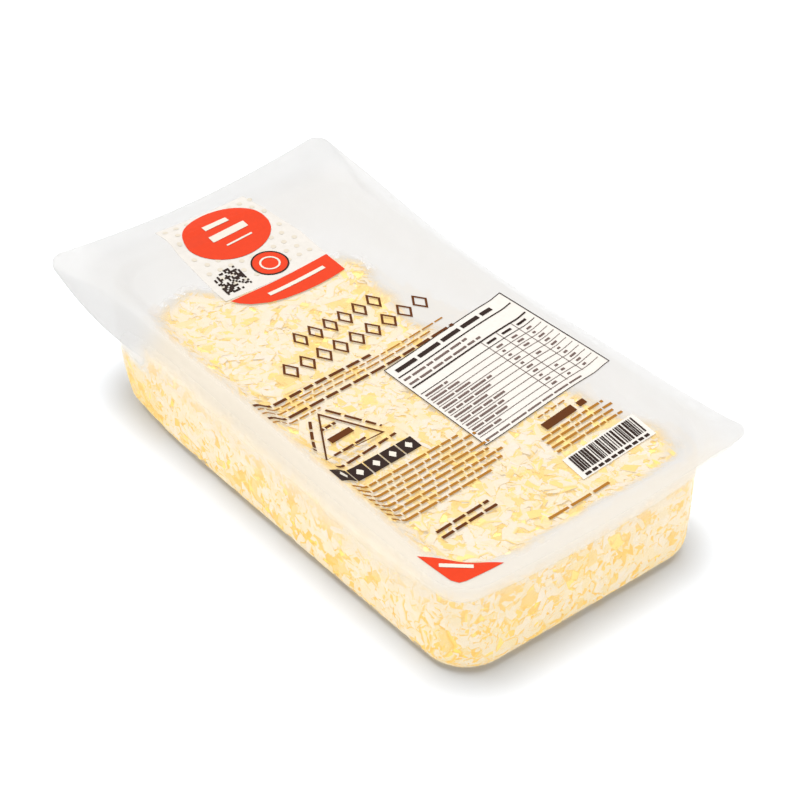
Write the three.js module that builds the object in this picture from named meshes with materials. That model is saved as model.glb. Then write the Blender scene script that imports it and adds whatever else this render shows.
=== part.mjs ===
// A deep-drawn clear film tray of finely shredded mozzarella, closed by a frosted top film
// that is sealed all round to the tray's flange.
// Millimetres. +X runs across the pack, +Y along it to the end with the wider flange, +Z up.
// The origin is at the centre of the footprint's box, on the surface the pack stands on.
import * as THREE from 'three';

// Cavity of the tray
const CAVITY_HALF_WIDTH = 60.3;
const CAVITY_HALF_LENGTH = 111.2;
const CAVITY_CENTRE_Y = -6.5;
const CAVITY_CORNER_RADIUS = 19;
const RIM_HEIGHT = 53.5; // top of the flange where it meets the cavity, halfway along
const RIM_RISE = 4.4; // how much higher the rim lies at the far end, and lower at the near end
const FLOOR_EDGE_RADIUS = 7.8;
const WALL_DRAFT = 0.8; // the foot of each wall stands this far inside its top
const FOOT_DRAW = 5; // and the foot of the far left corner this much further in,
const FOOT_DRAW_REACH = 30; // fading out over this distance round it
const SIDE_BULGE = 1.4; // the filled walls belly out between their corners
const END_BULGE = 1.6;
const RIM_RADIUS = 2;

// Flange
const FLANGE_HALF_WIDTH = 70;
const FLANGE_HALF_LENGTH = 127.2;
const FLANGE_CORNER_RADIUS = 7;

// Films
const TRAY_FILM = 0.4;
const TOP_FILM = 0.25;
const FILM_GAP = 0.3;
const SINK_LEFT = 4.5; // the top film is drawn down into the cavity by this much on the left,
const SINK_RIGHT = 1.3; // this much on the right,
const SINK_NEAR_RIGHT = 3.2; // this much in the near right corner
const SINK_FAR = 0.35; // and by this share of it at the far end,
const SINK_WIDTH = 9; // over this distance in from the rim
const SINK_RINGS = [1.2, 2.8, 4.6, 6.6, 9];

// Cheese
const CHEESE_GAP = 0.4;
const FAR_FOOT = 22; // height of the cheese at the far wall
const RIGHT_FOOT = 27; // height of the cheese at the right wall

const RING_CORNER_STEPS = 7;
const RING_LONG_STEPS = 12;
const RING_SHORT_STEPS = 6;

const clamp = (v, lo = 0, hi = 1) => Math.min(hi, Math.max(lo, v));
const smooth = (v) => { const t = clamp(v); return t * t * (3 - 2 * t); };
const lerp = (a, b, t) => a + (b - a) * t;

// One closed outline round a rounded rectangle, always with the same number of points, so that
// outlines of different sizes join point to point. Counter-clockwise, seen from above. Each point
// is [x, y, outward x, outward y].
function outline(halfX, halfY, radius, centreY) {
  const r = Math.max(radius, 0.5);
  const pts = [];
  const side = (ax, ay, bx, by, n, nx, ny) => {
    for (let i = 0; i < n; i += 1) pts.push([lerp(ax, bx, i / n), lerp(ay, by, i / n), nx, ny]);
  };
  const corner = (cx, cy, start) => {
    for (let i = 0; i < RING_CORNER_STEPS; i += 1) {
      const a = start + (Math.PI / 2) * (i / RING_CORNER_STEPS);
      pts.push([cx + r * Math.cos(a), cy + r * Math.sin(a), Math.cos(a), Math.sin(a)]);
    }
  };
  const x = halfX - r;
  const y = halfY - r;
  side(halfX, -y, halfX, y, RING_LONG_STEPS, 1, 0);
  corner(x, y, 0);
  side(x, halfY, -x, halfY, RING_SHORT_STEPS, 0, 1);
  corner(-x, y, Math.PI / 2);
  side(-halfX, y, -halfX, -y, RING_LONG_STEPS, -1, 0);
  corner(-x, -y, Math.PI);
  side(-x, -halfY, x, -halfY, RING_SHORT_STEPS, 0, -1);
  corner(x, -y, -Math.PI / 2);
  return pts.map(([px, py, nx, ny]) => [px, py + centreY, nx, ny]);
}

// Height of the rim along the pack
function rimHeight(y) {
  return RIM_HEIGHT + RIM_RISE * clamp((y - CAVITY_CENTRE_Y) / CAVITY_HALF_LENGTH, -1, 1);
}

// Heights of the flange's four free edges: the long sides droop, the corners curl up.
const leftEdge = (y) => 47.2 + 2.4 * Math.exp(-(((y - 31.5) / 25) ** 2))
  + 9.8 * clamp((y - 68.5) / 58.7) ** 2 + 4.4 * clamp((-66.5 - y) / 60.7) ** 2;
const rightEdge = (y) => 49.2 + 19.8 * clamp((y + 6.5) / 133.7) ** 2
  + 6.5 * clamp((-76.5 - y) / 50.7) ** 2;
const nearEdge = (x) => 47.3 + (x > -18 ? 0.00109 : 0.0016) * (x + 18) ** 2;
const farEdge = (x) => 55.4 + (x > -30 ? 13.6 * ((x + 30) / 100) ** 2 : 1.6 * ((-30 - x) / 40) ** 2);
const CORNER_HEIGHT = { farLeft: 57, farRight: 69, nearRight: 55.7, nearLeft: 51.6 };

function edgeHeight(x, y) {
  const u = clamp((x + FLANGE_HALF_WIDTH) / (2 * FLANGE_HALF_WIDTH));
  const v = clamp((y + FLANGE_HALF_LENGTH) / (2 * FLANGE_HALF_LENGTH));
  const c = CORNER_HEIGHT;
  return (1 - v) * nearEdge(x) + v * farEdge(x) + (1 - u) * leftEdge(y) + u * rightEdge(y)
    - ((1 - u) * (1 - v) * c.nearLeft + u * (1 - v) * c.nearRight
      + (1 - u) * v * c.farLeft + u * v * c.farRight);
}

// A curled corner also draws in a little towards the pack.
const CORNER_PULL = [
  { x: -1, y: 1, inX: 1.4, inY: 0.8 },
  { x: 1, y: 1, inX: 3.2, inY: 1.7 },
  { x: 1, y: -1, inX: 3.4, inY: 2.0 },
];
function pulledIn(x, y, t) {
  let px = x;
  let py = y;
  for (const c of CORNER_PULL) {
    const d = Math.hypot(x - c.x * FLANGE_HALF_WIDTH, y - c.y * FLANGE_HALF_LENGTH);
    const w = t * Math.exp(-((d / 26) ** 2));
    px -= c.x * c.inX * w;
    py -= c.y * c.inY * w;
  }
  return [px, py];
}

// The top of the flange, between the rim (t = 0) and its free edge (t = 1)
const RIM_LINE = outline(CAVITY_HALF_WIDTH + RIM_RADIUS, CAVITY_HALF_LENGTH + RIM_RADIUS,
  CAVITY_CORNER_RADIUS + RIM_RADIUS, CAVITY_CENTRE_Y);
const EDGE_LINE = outline(FLANGE_HALF_WIDTH, FLANGE_HALF_LENGTH, FLANGE_CORNER_RADIUS, 0);
const RING_POINTS = EDGE_LINE.length;

function flangePoint(i, t) {
  const x = lerp(RIM_LINE[i][0], EDGE_LINE[i][0], t);
  const y = lerp(RIM_LINE[i][1], EDGE_LINE[i][1], t);
  const rim = rimHeight(y);
  const z = rim + (edgeHeight(EDGE_LINE[i][0], EDGE_LINE[i][1]) - rim) * t ** 1.3;
  return new THREE.Vector3(...pulledIn(x, y, t), z);
}

// The ring at share t, raised square to the flange's surface by lift
function flangeRing(t, lift) {
  const ring = [];
  for (let i = 0; i < RING_POINTS; i += 1) {
    const outward = flangePoint(i, t + 0.02).sub(flangePoint(i, Math.max(t - 0.02, 0)));
    const along = flangePoint((i + 1) % RING_POINTS, t)
      .sub(flangePoint((i + RING_POINTS - 1) % RING_POINTS, t));
    const up = outward.cross(along).normalize();
    const p = flangePoint(i, t).addScaledVector(up, lift);
    ring.push([p.x, p.y, p.z]);
  }
  return ring;
}

// The tray's outer wall, or a line inside it by inset, at the height heightAt gives for each point
const WALL_LINE = outline(CAVITY_HALF_WIDTH, CAVITY_HALF_LENGTH, CAVITY_CORNER_RADIUS, CAVITY_CENTRE_Y);
function wallRing(inset, heightAt) {
  return WALL_LINE.map(([x, y, nx, ny], i) => {
    const z = heightAt(x, y, i);
    const u = clamp(z / (rimHeight(y) - TRAY_FILM - RIM_RADIUS));
    const acrossX = clamp(1 - (x / CAVITY_HALF_WIDTH) ** 2);
    const acrossY = clamp(1 - ((y - CAVITY_CENTRE_Y) / CAVITY_HALF_LENGTH) ** 2);
    const belly = Math.sin(Math.PI * u)
      * (SIDE_BULGE * nx * nx * acrossY + END_BULGE * ny * ny * acrossX);
    const corner = Math.exp(-((x + CAVITY_HALF_WIDTH) ** 2
      + (y - CAVITY_CENTRE_Y - CAVITY_HALF_LENGTH) ** 2) / FOOT_DRAW_REACH ** 2);
    const push = belly - WALL_DRAFT * (1 - u) - FOOT_DRAW * corner * (1 - u) ** 3 - inset;
    return [x + nx * push, y + ny * push, z];
  });
}

// Joins rings, each with the same number of points, into triangles. A ring of one point is a centre.
function joinRings(rings) {
  const points = [];
  const start = rings.map((ring) => { const s = points.length; points.push(...ring); return s; });
  const faces = [];
  for (let k = 0; k + 1 < rings.length; k += 1) {
    const a = start[k];
    const b = start[k + 1];
    const n = Math.max(rings[k].length, rings[k + 1].length);
    for (let i = 0; i < n; i += 1) {
      const j = (i + 1) % n;
      if (rings[k].length === 1) faces.push([a, b + i, b + j]);
      else if (rings[k + 1].length === 1) faces.push([a + j, a + i, b]);
      else faces.push([a + i, b + i, b + j], [a + i, b + j, a + j]);
    }
  }
  return { points, faces };
}

function pointNormals({ points, faces }) {
  const normals = points.map(() => new THREE.Vector3());
  const [a, b, c, n] = [0, 1, 2, 3].map(() => new THREE.Vector3());
  for (const [i, j, k] of faces) {
    a.fromArray(points[i]);
    b.fromArray(points[j]);
    c.fromArray(points[k]);
    n.crossVectors(b.clone().sub(a), c.clone().sub(a)).normalize();
    for (const v of [i, j, k]) normals[v].add(n);
  }
  return normals.map((v) => v.normalize());
}

function toGeometry(points, faces) {
  const geometry = new THREE.BufferGeometry();
  geometry.setAttribute('position', new THREE.Float32BufferAttribute(points.flat(), 3));
  geometry.setIndex(faces.flat());
  geometry.computeVertexNormals();
  return geometry;
}

// A film of even thickness. Its rings run from the centre outwards, and it grows upwards from them.
function film(rings, thickness) {
  const sheet = joinRings(rings);
  const normals = pointNormals(sheet);
  const count = sheet.points.length;
  const upper = sheet.points.map((p, i) => [
    p[0] + normals[i].x * thickness,
    p[1] + normals[i].y * thickness,
    p[2] + normals[i].z * thickness,
  ]);
  const faces = [];
  for (const [i, j, k] of sheet.faces) {
    faces.push([i + count, j + count, k + count], [i, k, j]);
  }
  const n = rings[rings.length - 1].length;
  const edge = count - n;
  for (let i = 0; i < n; i += 1) {
    const j = (i + 1) % n;
    faces.push([edge + i, edge + j, edge + j + count], [edge + i, edge + j + count, edge + i + count]);
  }
  return toGeometry([...sheet.points, ...upper], faces);
}

const about = (ring, share, heightAt) => ring.map(([x, y]) => {
  const px = x * share;
  const py = (y - CAVITY_CENTRE_Y) * share + CAVITY_CENTRE_Y;
  return [px, py, heightAt(px, py)];
});

// The tray: floor, rounded floor edge, wall, small rim radius, flange
function trayRings() {
  const rings = [[[0, CAVITY_CENTRE_Y, 0]]];
  const foot = wallRing(FLOOR_EDGE_RADIUS, () => 0);
  rings.push(about(foot, 0.5, () => 0), foot);
  for (const a of [22.5, 45, 67.5, 90]) {
    const r = (a * Math.PI) / 180;
    const z = FLOOR_EDGE_RADIUS * (1 - Math.cos(r));
    rings.push(wallRing(FLOOR_EDGE_RADIUS * (1 - Math.sin(r)), () => z));
  }
  for (const s of [0.25, 0.5, 0.75, 1]) {
    rings.push(wallRing(0, (x, y) => lerp(FLOOR_EDGE_RADIUS, rimHeight(y) - TRAY_FILM - RIM_RADIUS, s)));
  }
  for (const a of [35, 70]) {
    const r = (a * Math.PI) / 180;
    const out = RIM_RADIUS * (1 - Math.cos(r));
    const line = outline(CAVITY_HALF_WIDTH + out, CAVITY_HALF_LENGTH + out,
      CAVITY_CORNER_RADIUS + out, CAVITY_CENTRE_Y);
    rings.push(line.map(([x, y]) => [
      x, y, rimHeight(y) - TRAY_FILM - RIM_RADIUS * (1 - Math.sin(r)),
    ]));
  }
  for (const t of [0.02, 0.25, 0.5, 0.75, 1]) rings.push(flangeRing(t, -TRAY_FILM));
  return rings;
}

// Underside of the top film over the cavity
function sinkAt(x, y) {
  const c = y - CAVITY_CENTRE_Y;
  const right = lerp(SINK_RIGHT, SINK_NEAR_RIGHT, smooth((-55 - c) / 25));
  return lerp(SINK_LEFT, right, smooth((x + 10) / 60)) * lerp(1, SINK_FAR, smooth((c - 75) / 35));
}

function topFilmHeight(x, y, inFromRim) {
  const wave = 0.3 * Math.sin(x / 17 + 0.6) * Math.sin(y / 23 + 0.4);
  return rimHeight(y) + FILM_GAP - (sinkAt(x, y) + wave) * smooth(inFromRim / SINK_WIDTH);
}

function insideRing(inset, heightAt) {
  return outline(CAVITY_HALF_WIDTH - inset, CAVITY_HALF_LENGTH - inset,
    CAVITY_CORNER_RADIUS - inset, CAVITY_CENTRE_Y).map(([x, y]) => [x, y, heightAt(x, y)]);
}

function topFilmRings() {
  const full = (x, y) => topFilmHeight(x, y, SINK_WIDTH);
  const inner = insideRing(SINK_WIDTH, full);
  const rings = [[[0, CAVITY_CENTRE_Y, full(0, CAVITY_CENTRE_Y)]]];
  for (const share of [0.25, 0.5, 0.75]) rings.push(about(inner, share, full));
  for (const inset of [...SINK_RINGS].reverse()) {
    rings.push(insideRing(inset, (x, y) => topFilmHeight(x, y, inset)));
  }
  rings.push(insideRing(0, (x, y) => rimHeight(y) + FILM_GAP));
  for (const t of [0.02, 0.25, 0.5, 0.75, 1]) rings.push(flangeRing(t, FILM_GAP));
  return rings;
}

// The heap touches the top film over most of its area, and falls away towards the far end
// and along the right side.
function heapTop(x, y) {
  const cy = y - CAVITY_CENTRE_Y;
  const farLine = 68 + 7 * Math.sin((x + 62) / 17) + 3 * Math.sin(x / 5.3);
  const far = clamp((cy - farLine) / (CAVITY_HALF_LENGTH - farLine));
  const rightLine = 27 + 22 * smooth((-48 - cy) / 36) + 2.5 * Math.sin(cy / 9);
  const right = clamp((x - rightLine) / (CAVITY_HALF_WIDTH - rightLine));
  const touch = rimHeight(y) - sinkAt(x, y);
  const uneven = 1.5 * (1 + Math.sin(x / 4.1 + cy / 6.3) * Math.sin(cy / 5.2 - x / 7.7));
  const fall = Math.max(lerp(0, touch - FAR_FOOT, far), lerp(0, touch - RIGHT_FOOT, right));
  return touch - fall - uneven * smooth(fall / 6);
}

function cheeseRings() {
  const inset = TRAY_FILM + CHEESE_GAP;
  const edge = FLOOR_EDGE_RADIUS - inset;
  const inRim = (x, y) => {
    const qx = Math.abs(x) - (CAVITY_HALF_WIDTH - CAVITY_CORNER_RADIUS);
    const qy = Math.abs(y - CAVITY_CENTRE_Y) - (CAVITY_HALF_LENGTH - CAVITY_CORNER_RADIUS);
    return CAVITY_CORNER_RADIUS - Math.hypot(Math.max(qx, 0), Math.max(qy, 0))
      - Math.min(Math.max(qx, qy), 0);
  };
  const surface = (x, y) => Math.min(heapTop(x, y), topFilmHeight(x, y, inRim(x, y)) - CHEESE_GAP - 0.2);
  const rings = [[[0, CAVITY_CENTRE_Y, inset]]];
  const foot = wallRing(FLOOR_EDGE_RADIUS, () => inset);
  rings.push(about(foot, 0.5, () => inset), foot);
  for (const a of [30, 60, 90]) {
    const r = (a * Math.PI) / 180;
    const z = inset + edge * (1 - Math.cos(r));
    rings.push(wallRing(inset + edge * (1 - Math.sin(r)), () => z));
  }
  const lip = wallRing(inset, () => RIM_HEIGHT / 2).map(([x, y]) => surface(x, y) - 1);
  for (const s of [0.33, 0.67, 1]) {
    rings.push(wallRing(inset, (x, y, i) => lerp(FLOOR_EDGE_RADIUS, lip[i], s)));
  }
  const wall = rings[rings.length - 1];
  for (const share of [0.97, 0.9, 0.81, 0.7, 0.58, 0.45, 0.3, 0.15]) rings.push(about(wall, share, surface));
  rings.push([[0, CAVITY_CENTRE_Y, surface(0, CAVITY_CENTRE_Y)]]);
  return rings;
}

function body(rings) {
  const { points, faces } = joinRings(rings);
  return toGeometry(points, faces.map(([i, j, k]) => [i, k, j]));
}

const trayMaterial = new THREE.MeshStandardMaterial({
  color: 0xf4f3f0, roughness: 0.18, metalness: 0, transparent: true, opacity: 0.35,
});
const topFilmMaterial = new THREE.MeshStandardMaterial({
  color: 0xf3f2f1, roughness: 0.5, metalness: 0, transparent: true, opacity: 0.55,
});
const cheeseMaterial = new THREE.MeshStandardMaterial({ color: 0xfbecc0, roughness: 0.6, metalness: 0 });

const pack = new THREE.Group();
const add = (name, geometry, material) => {
  const mesh = new THREE.Mesh(geometry, material);
  mesh.name = name;
  pack.add(mesh);
};
add('tray', film(trayRings(), TRAY_FILM), trayMaterial);
add('top_film', film(topFilmRings(), TOP_FILM), topFilmMaterial);
add('cheese', body(cheeseRings()), cheeseMaterial);

export default pack;
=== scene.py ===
"""The looks of a sealed clear tray of finely shredded cheese with a frosted, printed top film.

Lengths are in millimetres until a mesh is made. The frame is the CAD model's: +X across, +Y along, +Z up.
"""
import math

import bpy
import numpy as np
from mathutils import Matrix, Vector
from mathutils.bvhtree import BVHTree
from mathutils.geometry import delaunay_2d_cdt


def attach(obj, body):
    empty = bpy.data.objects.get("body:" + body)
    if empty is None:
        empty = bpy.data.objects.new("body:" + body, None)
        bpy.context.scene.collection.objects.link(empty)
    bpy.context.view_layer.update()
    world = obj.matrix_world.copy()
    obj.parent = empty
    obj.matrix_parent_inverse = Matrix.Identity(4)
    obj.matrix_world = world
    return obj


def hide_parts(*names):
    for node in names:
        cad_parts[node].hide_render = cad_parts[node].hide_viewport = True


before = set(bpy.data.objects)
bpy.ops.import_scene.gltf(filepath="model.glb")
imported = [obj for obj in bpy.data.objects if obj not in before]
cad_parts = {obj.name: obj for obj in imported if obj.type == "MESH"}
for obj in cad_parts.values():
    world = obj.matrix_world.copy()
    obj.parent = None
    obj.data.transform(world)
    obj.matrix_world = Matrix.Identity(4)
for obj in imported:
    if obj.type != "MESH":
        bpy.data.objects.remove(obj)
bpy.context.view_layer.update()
rng = np.random.default_rng(20418)

# ---------------------------------------------------------------- the pack's own shape, as in the CAD
HX, HY, CY, RC = 60.3, 111.2, -6.5, 19.0
RIM, RISE, FILLET, DRAFT = 53.5, 4.4, 7.8, 0.8
BELLY_X, BELLY_Y, RIM_R = 1.4, 1.6, 2.0
FX, FY, FR = 70.0, 127.2, 7.0
TRAY_T, FILM_T, GAP = 0.4, 0.25, 0.3
FOOT_DRAW, FOOT_REACH = 5.0, 30.0
SINK_LEFT, SINK_RIGHT, SINK_NEAR_RIGHT, SINK_FAR, SINK_W = 4.5, 1.3, 3.2, 0.35, 9.0


def clamp(v, lo=0.0, hi=1.0):
    return np.minimum(np.maximum(v, lo), hi)


def smooth(v):
    t = clamp(v)
    return t * t * (3 - 2 * t)


def lerp(a, b, t):
    return a + (b - a) * t


def rim(y):
    return RIM + RISE * clamp((np.asarray(y) - CY) / HY, -1, 1)


def outline(hx, hy, r, cy, n_corner, n_long, n_short):
    """Points and outward directions round a rounded rectangle, counter-clockwise."""
    r = max(r, 0.3)
    pts, out = [], []

    def side(a, b, n, d):
        for i in range(n):
            t = i / n
            pts.append((lerp(a[0], b[0], t), lerp(a[1], b[1], t)))
            out.append(d)

    def corner(cx, c_y, start):
        for i in range(n_corner):
            a = start + (math.pi / 2) * (i / n_corner)
            pts.append((cx + r * math.cos(a), c_y + r * math.sin(a)))
            out.append((math.cos(a), math.sin(a)))

    x, y = hx - r, hy - r
    side((hx, -y), (hx, y), n_long, (1, 0))
    corner(x, y, 0)
    side((x, hy), (-x, hy), n_short, (0, 1))
    corner(-x, y, math.pi / 2)
    side((-hx, y), (-hx, -y), n_long, (-1, 0))
    corner(-x, -y, math.pi)
    side((-x, -hy), (x, -hy), n_short, (0, -1))
    corner(x, -y, -math.pi / 2)
    p = np.array(pts)
    p[:, 1] += cy
    return p, np.array(out, float)


NC, NL, NS = 16, 66, 36


def ring_of(hx, hy, r, cy):
    return outline(hx, hy, r, cy, NC, NL, NS)


def left_edge(y):
    return (47.2 + 2.4 * np.exp(-(((y - 31.5) / 25) ** 2)) + 9.8 * clamp((y - 68.5) / 58.7) ** 2
            + 4.4 * clamp((-66.5 - y) / 60.7) ** 2)


def right_edge(y):
    return 49.2 + 19.8 * clamp((y + 6.5) / 133.7) ** 2 + 6.5 * clamp((-76.5 - y) / 50.7) ** 2


def near_edge(x):
    return 47.3 + np.where(x > -18, 0.00109, 0.0016) * (x + 18) ** 2


def far_edge(x):
    return 55.4 + np.where(x > -30, 13.6 * ((x + 30) / 100) ** 2, 1.6 * ((-30 - x) / 40) ** 2)


def edge_height(x, y):
    u = clamp((x + FX) / (2 * FX))
    v = clamp((y + FY) / (2 * FY))
    return ((1 - v) * near_edge(x) + v * far_edge(x) + (1 - u) * left_edge(y) + u * right_edge(y)
            - ((1 - u) * (1 - v) * 51.6 + u * (1 - v) * 55.7 + (1 - u) * v * 57.0 + u * v * 69.0))


PULL = [(-1, 1, 1.4, 0.8), (1, 1, 3.2, 1.7), (1, -1, 3.4, 2.0)]
RIM_LINE = ring_of(HX + RIM_R, HY + RIM_R, RC + RIM_R, CY)[0]
EDGE_LINE = ring_of(FX, FY, FR, 0)[0]


def flange_points(t, roll=0):
    a, b = np.roll(RIM_LINE, -roll, 0), np.roll(EDGE_LINE, -roll, 0)
    xy = lerp(a, b, t)
    r = rim(xy[:, 1])
    z = r + (edge_height(b[:, 0], b[:, 1]) - r) * t ** 1.3
    x, y = xy[:, 0].copy(), xy[:, 1].copy()
    for sx, sy, ix, iy in PULL:
        d = np.hypot(xy[:, 0] - sx * FX, xy[:, 1] - sy * FY)
        w = t * np.exp(-((d / 26) ** 2))
        x -= sx * ix * w
        y -= sy * iy * w
    return np.stack([x, y, z], 1)


def flange_ring(t, lift):
    outward = flange_points(t + 0.02) - flange_points(max(t - 0.02, 0))
    along = flange_points(t, 1) - flange_points(t, -1)
    up = np.cross(outward, along)
    up /= np.linalg.norm(up, axis=1)[:, None]
    return flange_points(t) + up * lift


def belly(nx, ny, x, y, u):
    ax = clamp(1 - (x / HX) ** 2)
    ay = clamp(1 - ((y - CY) / HY) ** 2)
    return np.sin(math.pi * u) * (BELLY_X * nx * nx * ay + BELLY_Y * ny * ny * ax)


def foot_draw(x, y, u):
    """The foot of the far left corner stands further in than the others."""
    near = np.exp(-((x + HX) ** 2 + (y - CY - HY) ** 2) / FOOT_REACH ** 2)
    return FOOT_DRAW * near * (1 - u) ** 3


def wall_ring(inset, z):
    p, n = ring_of(HX, HY, RC, CY)
    z = np.broadcast_to(np.asarray(z, float), (len(p),))
    u = clamp(z / (rim(p[:, 1]) - TRAY_T - RIM_R))
    push = belly(n[:, 0], n[:, 1], p[:, 0], p[:, 1], u) - DRAFT * (1 - u) - inset - foot_draw(p[:, 0], p[:, 1], u)
    return np.stack([p[:, 0] + n[:, 0] * push, p[:, 1] + n[:, 1] * push, z], 1)


def sink_at(x, y):
    """How far the top film is drawn down: most on the left, little at the right and the far end."""
    c = y - CY
    right = lerp(SINK_RIGHT, SINK_NEAR_RIGHT, smooth((-55 - c) / 25))
    return lerp(SINK_LEFT, right, smooth((x + 10) / 60)) * lerp(1, SINK_FAR, smooth((c - 75) / 35))


def film_height(x, y, inward):
    """Underside of the top film over the cavity, inward millimetres in from the rim line."""
    wave = 0.3 * np.sin(x / 17 + 0.6) * np.sin(y / 23 + 0.4)
    return rim(y) + GAP - (sink_at(x, y) + wave) * smooth(inward / SINK_W)


def inward_of(x, y, hx=HX, hy=HY, r=RC):
    qx = np.abs(x) - (hx - r)
    qy = np.abs(y - CY) - (hy - r)
    return r - np.hypot(np.maximum(qx, 0), np.maximum(qy, 0)) - np.minimum(np.maximum(qx, qy), 0)


# ---------------------------------------------------------------- mesh helpers
def numpy_mesh(name, verts, faces, smooth_shade=True):
    """verts (n, 3) in millimetres; faces: a list of integer arrays, each (m, 3) or (m, 4)."""
    me = bpy.data.meshes.new(name)
    verts = np.asarray(verts, np.float32) / 1000
    faces = [np.asarray(f, np.int32) for f in faces if len(f)]
    me.vertices.add(len(verts))
    me.vertices.foreach_set("co", verts.ravel())
    loops = np.concatenate([f.ravel() for f in faces])
    sizes = np.concatenate([np.full(len(f), f.shape[1], np.int32) for f in faces])
    starts = np.concatenate([[0], np.cumsum(sizes)[:-1]]).astype(np.int32)
    me.loops.add(len(loops))
    me.loops.foreach_set("vertex_index", loops)
    me.polygons.add(len(sizes))
    me.polygons.foreach_set("loop_start", starts)
    me.polygons.foreach_set("loop_total", sizes)
    me.polygons.foreach_set("use_smooth", np.full(len(sizes), smooth_shade))
    me.update(calc_edges=True)
    me.validate()
    ob = bpy.data.objects.new(name, me)
    bpy.context.scene.collection.objects.link(ob)
    return ob


def attribute(ob, name, values):
    a = ob.data.attributes.new(name, "FLOAT", "POINT")
    a.data.foreach_set("value", np.asarray(values, np.float32))


def sheet_faces(ring_sizes):
    """Quads between successive rings; a ring of one point is a centre."""
    quads, tris = [], []
    start = np.concatenate([[0], np.cumsum(ring_sizes)])
    for k in range(len(ring_sizes) - 1):
        a, b = start[k], start[k + 1]
        na, nb = ring_sizes[k], ring_sizes[k + 1]
        i = np.arange(max(na, nb))
        j = (i + 1) % len(i)
        if na == 1:
            tris.append(np.stack([np.full(len(i), a), b + i, b + j], 1))
        elif nb == 1:
            tris.append(np.stack([a + j, a + i, np.full(len(i), b)], 1))
        else:
            quads.append(np.stack([a + i, b + i, b + j, a + j], 1))
    return (np.concatenate(quads) if quads else np.zeros((0, 4), int),
            np.concatenate(tris) if tris else np.zeros((0, 3), int))


def vertex_normals(v, quads, tris):
    n = np.zeros_like(v)
    for f in (quads, tris):
        if len(f):
            fn = np.cross(v[f[:, 1]] - v[f[:, 0]], v[f[:, 2]] - v[f[:, 0]])
            fn /= np.linalg.norm(fn, axis=1)[:, None] + 1e-12
            for c in range(f.shape[1]):
                np.add.at(n, f[:, c], fn)
    return n / (np.linalg.norm(n, axis=1)[:, None] + 1e-12)


def film_piece(name, rings, thickness):
    """A closed film, grown along its normals from rings that run from the centre outwards."""
    sizes = [len(r) for r in rings]
    v = np.concatenate(rings)
    q, t = sheet_faces(sizes)
    up = v + vertex_normals(v, q, t) * thickness
    n = len(v)
    edge = n - sizes[-1]
    i = np.arange(sizes[-1])
    j = (i + 1) % sizes[-1]
    side = np.stack([edge + i, edge + j, edge + j + n, edge + i + n], 1)
    ob = numpy_mesh(name, np.concatenate([v, up]), [q + n, t + n, q[:, ::-1], t[:, ::-1], side])
    return ob, v, up, q, t


def about(ring_xy, share, height):
    x = ring_xy[:, 0] * share
    y = (ring_xy[:, 1] - CY) * share + CY
    return np.stack([x, y, height(x, y)], 1)


# ---------------------------------------------------------------- materials
def srgb(*c):
    return [((v / 255) / 12.92 if v <= 10 else ((v / 255 + 0.055) / 1.055) ** 2.4) for v in c] + [1.0]


def material(name):
    m = bpy.data.materials.new(name)
    m.use_nodes = True
    nt = m.node_tree
    nt.nodes.clear()
    out = nt.nodes.new("ShaderNodeOutputMaterial")
    p = nt.nodes.new("ShaderNodeBsdfPrincipled")
    nt.links.new(p.outputs[0], out.inputs["Surface"])
    return m, nt, p


def node(nt, kind, **inputs):
    n = nt.nodes.new(kind)
    for key, value in inputs.items():
        n.inputs[key.replace("_", " ")].default_value = value
    return n


def noise(nt, scale, detail=3.0, rough=0.5, coords=None):
    tc = coords or nt.nodes.new("ShaderNodeTexCoord").outputs["Object"]
    n = nt.nodes.new("ShaderNodeTexNoise")
    n.inputs["Scale"].default_value = scale
    n.inputs["Detail"].default_value = detail
    n.inputs["Roughness"].default_value = rough
    nt.links.new(tc, n.inputs["Vector"])
    return n


def ramp(nt, fac, stops):
    r = nt.nodes.new("ShaderNodeValToRGB")
    els = r.color_ramp.elements
    els[0].position, els[0].color = stops[0]
    els[1].position, els[1].color = stops[-1]
    for pos, col in stops[1:-1]:
        e = els.new(pos)
        e.color = col
    nt.links.new(fac, r.inputs["Fac"])
    return r


def math_node(nt, op, a, b=None, c=None, clamped=False):
    n = nt.nodes.new("ShaderNodeMath")
    n.operation = op
    n.use_clamp = clamped
    for k, v in enumerate((a, b, c)):
        if v is None:
            continue
        if isinstance(v, (int, float)):
            n.inputs[k].default_value = v
        else:
            nt.links.new(v, n.inputs[k])
    return n.outputs[0]


def bump(nt, height, strength, distance):
    b = nt.nodes.new("ShaderNodeBump")
    b.inputs["Strength"].default_value = strength
    b.inputs["Distance"].default_value = distance
    nt.links.new(height, b.inputs["Height"])
    return b.outputs[0]


DIM, SIDE_DIM_PAINTED_LIGHTER = 0.37, 0.60  # surfaces that face the main light, and side walls, are this much deeper than they look; the side walls are dimmed less, painted light making up for the light they don't get


def cheese_material(name, stops, roughness, glow):
    m, nt, p = material(name)
    at = nt.nodes.new("ShaderNodeAttribute")
    at.attribute_name = "tone_and_shade"
    n = noise(nt, 260, 3.0)
    varied = math_node(nt, "ADD", at.outputs["Fac"], math_node(nt, "MULTIPLY_ADD", n.outputs["Fac"], 0.16, -0.08))
    r = ramp(nt, varied, stops)
    nt.links.new(r.outputs[0], p.inputs["Base Color"])
    p.inputs["Roughness"].default_value = roughness
    p.inputs["Specular IOR Level"].default_value = 0.35
    # painted light: an emission glow standing in for light that has passed through neighbouring shreds, warmer the
    # deeper a shred lies
    inner = ramp(nt, varied, glow)
    nt.links.new(inner.outputs[0], p.inputs["Emission Color"])
    p.inputs["Emission Strength"].default_value = 1.0
    fine = noise(nt, 900, 2.0)
    nt.links.new(bump(nt, fine.outputs["Fac"], 0.35, 0.0004), p.inputs["Normal"])
    return m


# pale cream at tone 0 to deep yellow: partly the cheese's own random tone, partly painted shade on undersides and
# deeper layers
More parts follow.
